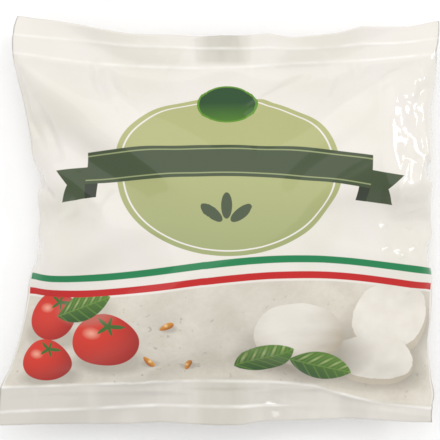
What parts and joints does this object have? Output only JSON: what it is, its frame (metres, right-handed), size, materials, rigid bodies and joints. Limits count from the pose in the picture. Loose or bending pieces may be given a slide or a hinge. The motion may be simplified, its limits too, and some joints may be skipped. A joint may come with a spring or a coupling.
{
  "type": "sealed mozzarella pillow pouch",
  "caption": "Sealed printed pillow pouch holding a soft white cheese in brine, lying on its back seam with the printed face up.",
  "frame": {"origin": "on the table, below the middle of the pouch's box", "axes": "+X across the pouch, +Y towards the top seal, +Z out of the printed face"},
  "size_m": [0.1474, 0.1364, 0.0378],
  "materials": {
    "printed_film": "satin white printed film with green, red and grey fields"
  },
  "bodies": {
    "root": {"pouch": "printed_film"}
  },
  "joints": []
}
